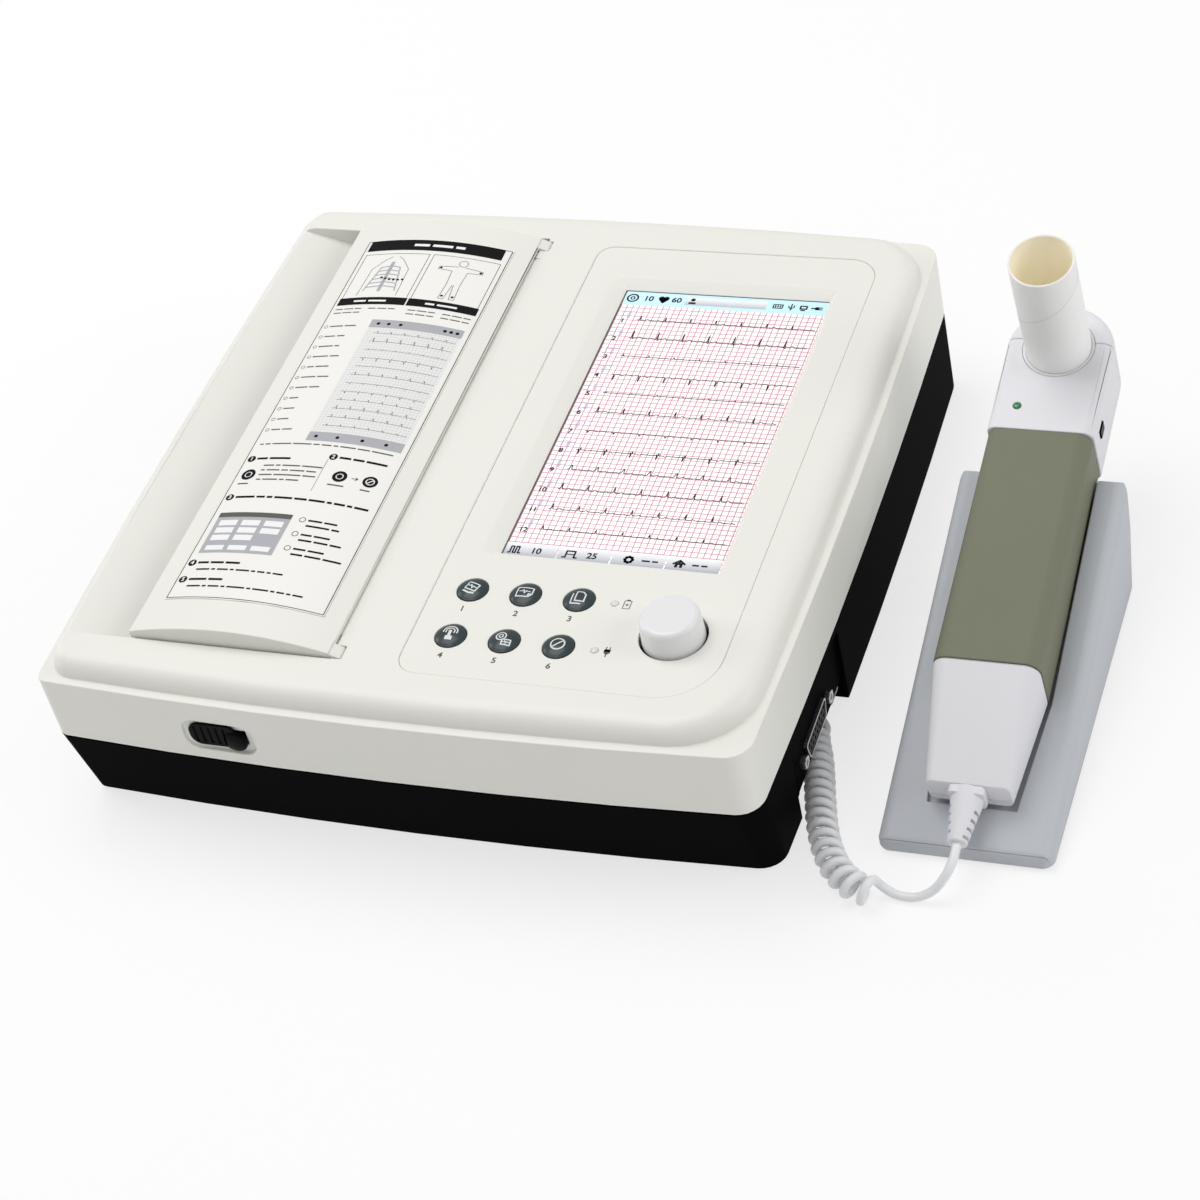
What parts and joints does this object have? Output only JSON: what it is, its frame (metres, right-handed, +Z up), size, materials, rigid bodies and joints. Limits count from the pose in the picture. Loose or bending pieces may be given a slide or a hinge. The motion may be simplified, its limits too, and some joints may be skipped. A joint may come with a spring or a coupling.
{
  "type": "ecg machine",
  "caption": "Desktop ECG recorder with a screen panel, a chart printer under an arched lid, and a breath-flow handset on a curly cord lying in a sloping cradle.",
  "frame": {"origin": "middle of the set's footprint on the table, cord left out", "axes": "+Z up, -Y towards the user at the front, +X towards the handset"},
  "size_m": [0.3784, 0.2928, 0.1328],
  "materials": {
    "case_ivory": "satin moulded plastic",
    "case_black": "fine-grained black plastic",
    "key_slate": "soft matt keys",
    "knob_white": "smooth plastic",
    "screen_glass": "clear",
    "screen_frame": "dark frame",
    "lamp_clear": "clear lens",
    "lamp_green": "green lens",
    "label_film": "printed film",
    "steel": "bright",
    "aluminium": "plain",
    "brass": "plain",
    "rubber_dark": "matt rubber",
    "gear_plastic": "plain moulded",
    "spindle_plastic": "plain moulded",
    "paper": "chart paper and card",
    "board": "green circuit board",
    "battery": "blue wrap",
    "handset_white": "satin moulded plastic",
    "grip_olive": "soft matt grip",
    "cradle_grey": "satin moulded plastic"
  },
  "bodies": {
    "recorder": {"upper_case": "case_ivory", "lower_case": "case_black", "control_panel": "case_ivory", "touch_glass": "screen_glass", "lcd_module": "screen_frame", "key_board": "board", "encoder": "screen_frame", "indicator_lights": "lamp_clear", "lid_hinge_pins": "steel", "feed_motor": "steel", "print_head": "aluminium", "paper_tray": "gear_plastic", "roll_spindle": "spindle_plastic", "main_board": "board", "power_supply": "aluminium", "battery_pack": "battery", "ecg_socket": "steel", "jack_screws": "steel", "handset_socket": "screen_frame", "mains_inlet": "case_black", "switch_housing": "screen_frame", "data_ports": "steel", "rubber_feet": "rubber_dark", "case_screws": "steel", "cradle": "cradle_grey", "cradle_feet": "rubber_dark", "cord_plug": "handset_white", "handset_cord": "handset_white"},
    "lid": {"printer_lid": "case_ivory", "guide_label": "label_film"},
    "platen": {"platen_roller": "rubber_dark", "platen_gear": "gear_plastic"},
    "pinion": {"motor_pinion": "brass"},
    "roll": {"paper_roll": "paper"},
    "latch": {"latch_slider": "case_black"},
    "jog_stem": {"jog_shaft": "steel"},
    "jog_wheel": {"jog_knob": "knob_white"},
    "rocker": {"power_rocker": "case_black"},
    "handset": {"handset_front": "handset_white", "handset_rear": "handset_white", "head_cap": "handset_white", "grip_sleeve": "grip_olive", "flow_tube": "handset_white", "flow_screen": "steel", "handset_lamp": "lamp_green", "handset_board": "board", "handset_screws": "steel", "strain_relief": "handset_white"},
    "thumb_button": {"handset_button": "case_black"},
    "mouth_tube": {"mouthpiece": "paper"},
    "key_1_cap": {"key_1": "key_slate"},
    "key_2_cap": {"key_2": "key_slate"},
    "key_3_cap": {"key_3": "key_slate"},
    "key_4_cap": {"key_4": "key_slate"},
    "key_5_cap": {"key_5": "key_slate"},
    "key_6_cap": {"key_6": "key_slate"}
  },
  "joints": [
    {"name": "lid_hinge", "type": "hinge", "parent": "recorder", "child": "lid", "pos_m": [-0.06838, 0, 0.0766], "axis": [0, 1, 0], "range_deg": [0, 75]},
    {"name": "roll_spin", "type": "hinge", "parent": "recorder", "child": "roll", "pos_m": [-0.10858, 0, 0.04], "axis": [0, 1, 0], "continuous": true},
    {"name": "platen_spin", "type": "hinge", "parent": "lid", "child": "platen", "pos_m": [-0.14408, 0, 0.0732], "axis": [0, 1, 0], "continuous": true},
    {"name": "pinion_spin", "type": "hinge", "parent": "recorder", "child": "pinion", "pos_m": [-0.14349, 0, 0.06026], "axis": [0, 1, 0], "continuous": true},
    {"name": "latch_slide", "type": "slide", "parent": "recorder", "child": "latch", "axis": [1, 0, 0], "range_m": [-0.0024, 0.001]},
    {"name": "key_1_press", "type": "slide", "parent": "recorder", "child": "key_1_cap", "axis": [0, 0, -1], "range_m": [0, 0.0006], "stiffness_N_per_m": 800, "springref_m": -0.0005},
    {"name": "key_2_press", "type": "slide", "parent": "recorder", "child": "key_2_cap", "axis": [0, 0, -1], "range_m": [0, 0.0006], "stiffness_N_per_m": 800, "springref_m": -0.0005},
    {"name": "key_3_press", "type": "slide", "parent": "recorder", "child": "key_3_cap", "axis": [0, 0, -1], "range_m": [0, 0.0006], "stiffness_N_per_m": 800, "springref_m": -0.0005},
    {"name": "key_4_press", "type": "slide", "parent": "recorder", "child": "key_4_cap", "axis": [0, 0, -1], "range_m": [0, 0.0006], "stiffness_N_per_m": 800, "springref_m": -0.0005},
    {"name": "key_5_press", "type": "slide", "parent": "recorder", "child": "key_5_cap", "axis": [0, 0, -1], "range_m": [0, 0.0006], "stiffness_N_per_m": 800, "springref_m": -0.0005},
    {"name": "key_6_press", "type": "slide", "parent": "recorder", "child": "key_6_cap", "axis": [0, 0, -1], "range_m": [0, 0.0006], "stiffness_N_per_m": 800, "springref_m": -0.0005},
    {"name": "jog_press", "type": "slide", "parent": "recorder", "child": "jog_stem", "axis": [0, 0, -1], "range_m": [0, 0.0005], "stiffness_N_per_m": 1500, "springref_m": -0.0005},
    {"name": "jog_spin", "type": "hinge", "parent": "jog_stem", "child": "jog_wheel", "pos_m": [0.05343, -0.094, 0.08], "axis": [0, 0, 1], "continuous": true},
    {"name": "power_rock", "type": "hinge", "parent": "recorder", "child": "rocker", "pos_m": [0.05343, 0.142, 0.0215], "axis": [1, 0, 0], "range_deg": [-16, 0]},
    {"name": "handset_lift", "type": "slide", "parent": "recorder", "child": "handset", "axis": [0, -0.2164, 0.9763], "range_m": [0, 0.05]},
    {"name": "thumb_press", "type": "slide", "parent": "handset", "child": "thumb_button", "axis": [-1, 0, 0], "range_m": [0, 0.0008], "stiffness_N_per_m": 600, "springref_m": -0.0004},
    {"name": "mouthpiece_pull", "type": "slide", "parent": "handset", "child": "mouth_tube", "axis": [0, -0.2164, 0.9763], "range_m": [0, 0.016]}
  ],
  "couplings": [
    {"joint": "platen_spin", "follows": "roll_spin", "ratio": -3.5385},
    {"joint": "pinion_spin", "follows": "roll_spin", "ratio": 5.8974}
  ]
}
